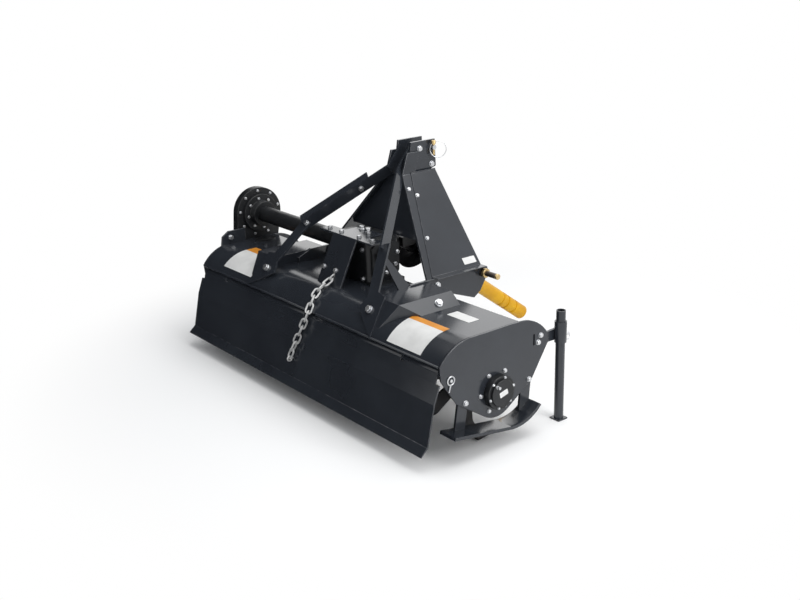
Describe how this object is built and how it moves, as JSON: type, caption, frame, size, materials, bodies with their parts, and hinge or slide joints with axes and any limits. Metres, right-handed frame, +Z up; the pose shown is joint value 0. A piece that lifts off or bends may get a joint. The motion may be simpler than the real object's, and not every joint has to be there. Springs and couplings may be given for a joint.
{
  "type": "rotary tiller",
  "caption": "Three-point-hitch rotary tiller: curved hood over a tined rotor, side chain case, gearbox, jointed driveline, hinged tailgate on a chain, skids and a parking stand.",
  "frame": {"origin": "on the ground, at the middle of the parked machine's box", "axes": "+X to the machine's right, +Y forward to the tractor, +Z up"},
  "size_m": [1.696, 1.2802, 0.937],
  "materials": {
    "dark_paint": "satin powder coat",
    "black_casting": "painted casting",
    "zinc_plate": "bright zinc",
    "bare_steel": "forged, dark",
    "yellow_plastic": "smooth moulded"
  },
  "bodies": {
    "frame": {"deck_shell": "dark_paint", "end_plate_right": "dark_paint", "end_plate_left": "dark_paint", "hinge_lugs": "dark_paint", "saddle_right": "dark_paint", "saddle_left": "dark_paint", "hitch_plate_right": "dark_paint", "hitch_plate_left": "dark_paint", "mast_plate_right": "dark_paint", "mast_plate_left": "dark_paint", "frame_leg_right": "dark_paint", "frame_leg_left": "dark_paint", "shield_right": "dark_paint", "shield_left": "dark_paint", "frame_panel": "dark_paint", "brace_foot_right": "dark_paint", "brace_foot_left": "dark_paint", "brace_right": "dark_paint", "brace_left": "dark_paint", "brace_splice": "dark_paint", "gusset_brace": "dark_paint", "skid_right": "dark_paint", "skid_left": "dark_paint", "stand_bracket": "dark_paint", "gearbox_bracket": "dark_paint", "cross_shaft_tube": "dark_paint", "chain_case_cover": "dark_paint", "bearing_housing": "black_casting", "bearing_cap": "black_casting", "chain_case": "black_casting", "cross_shaft_flange": "black_casting", "gearbox_housing": "black_casting", "gearbox_side_cover": "black_casting", "input_yoke": "black_casting", "hitch_pin_right": "zinc_plate", "hitch_pin_left": "zinc_plate", "top_link_pin": "zinc_plate", "stand_lock_pin": "zinc_plate", "tail_chain": "zinc_plate", "hinge_rod": "zinc_plate", "input_shaft": "bare_steel"},
    "rotor": {"tine_rotor": "bare_steel"},
    "tailgate": {"tailgate_panel": "dark_paint", "chain_eye": "zinc_plate"},
    "stand": {"parking_stand": "dark_paint"},
    "cross": {"joint_cross": "bare_steel"},
    "driveline": {"driveline_yoke": "black_casting", "driveline_tube": "bare_steel", "driveline_guard": "yellow_plastic"}
  },
  "joints": [
    {"name": "rotor_spin", "type": "hinge", "parent": "frame", "child": "rotor", "pos_m": [0, -0.28764, 0.2], "axis": [1, 0, 0], "continuous": true},
    {"name": "tailgate_hinge", "type": "hinge", "parent": "frame", "child": "tailgate", "pos_m": [0, -0.53109, 0.33039], "axis": [-1, 0, 0], "range_deg": [0, 60], "deforming": ["tail_chain"]},
    {"name": "stand_slide", "type": "slide", "parent": "frame", "child": "stand", "axis": [0, 0, 1], "range_m": [0, 0.28]},
    {"name": "driveline_pitch", "type": "hinge", "parent": "frame", "child": "cross", "pos_m": [0, -0.03564, 0.54], "axis": [1, 0, 0], "range_deg": [0, 60]},
    {"name": "driveline_yaw", "type": "hinge", "parent": "cross", "child": "driveline", "pos_m": [0, -0.03564, 0.54], "axis": [0, 0.5878, 0.809], "range_deg": [-25, 25]}
  ]
}
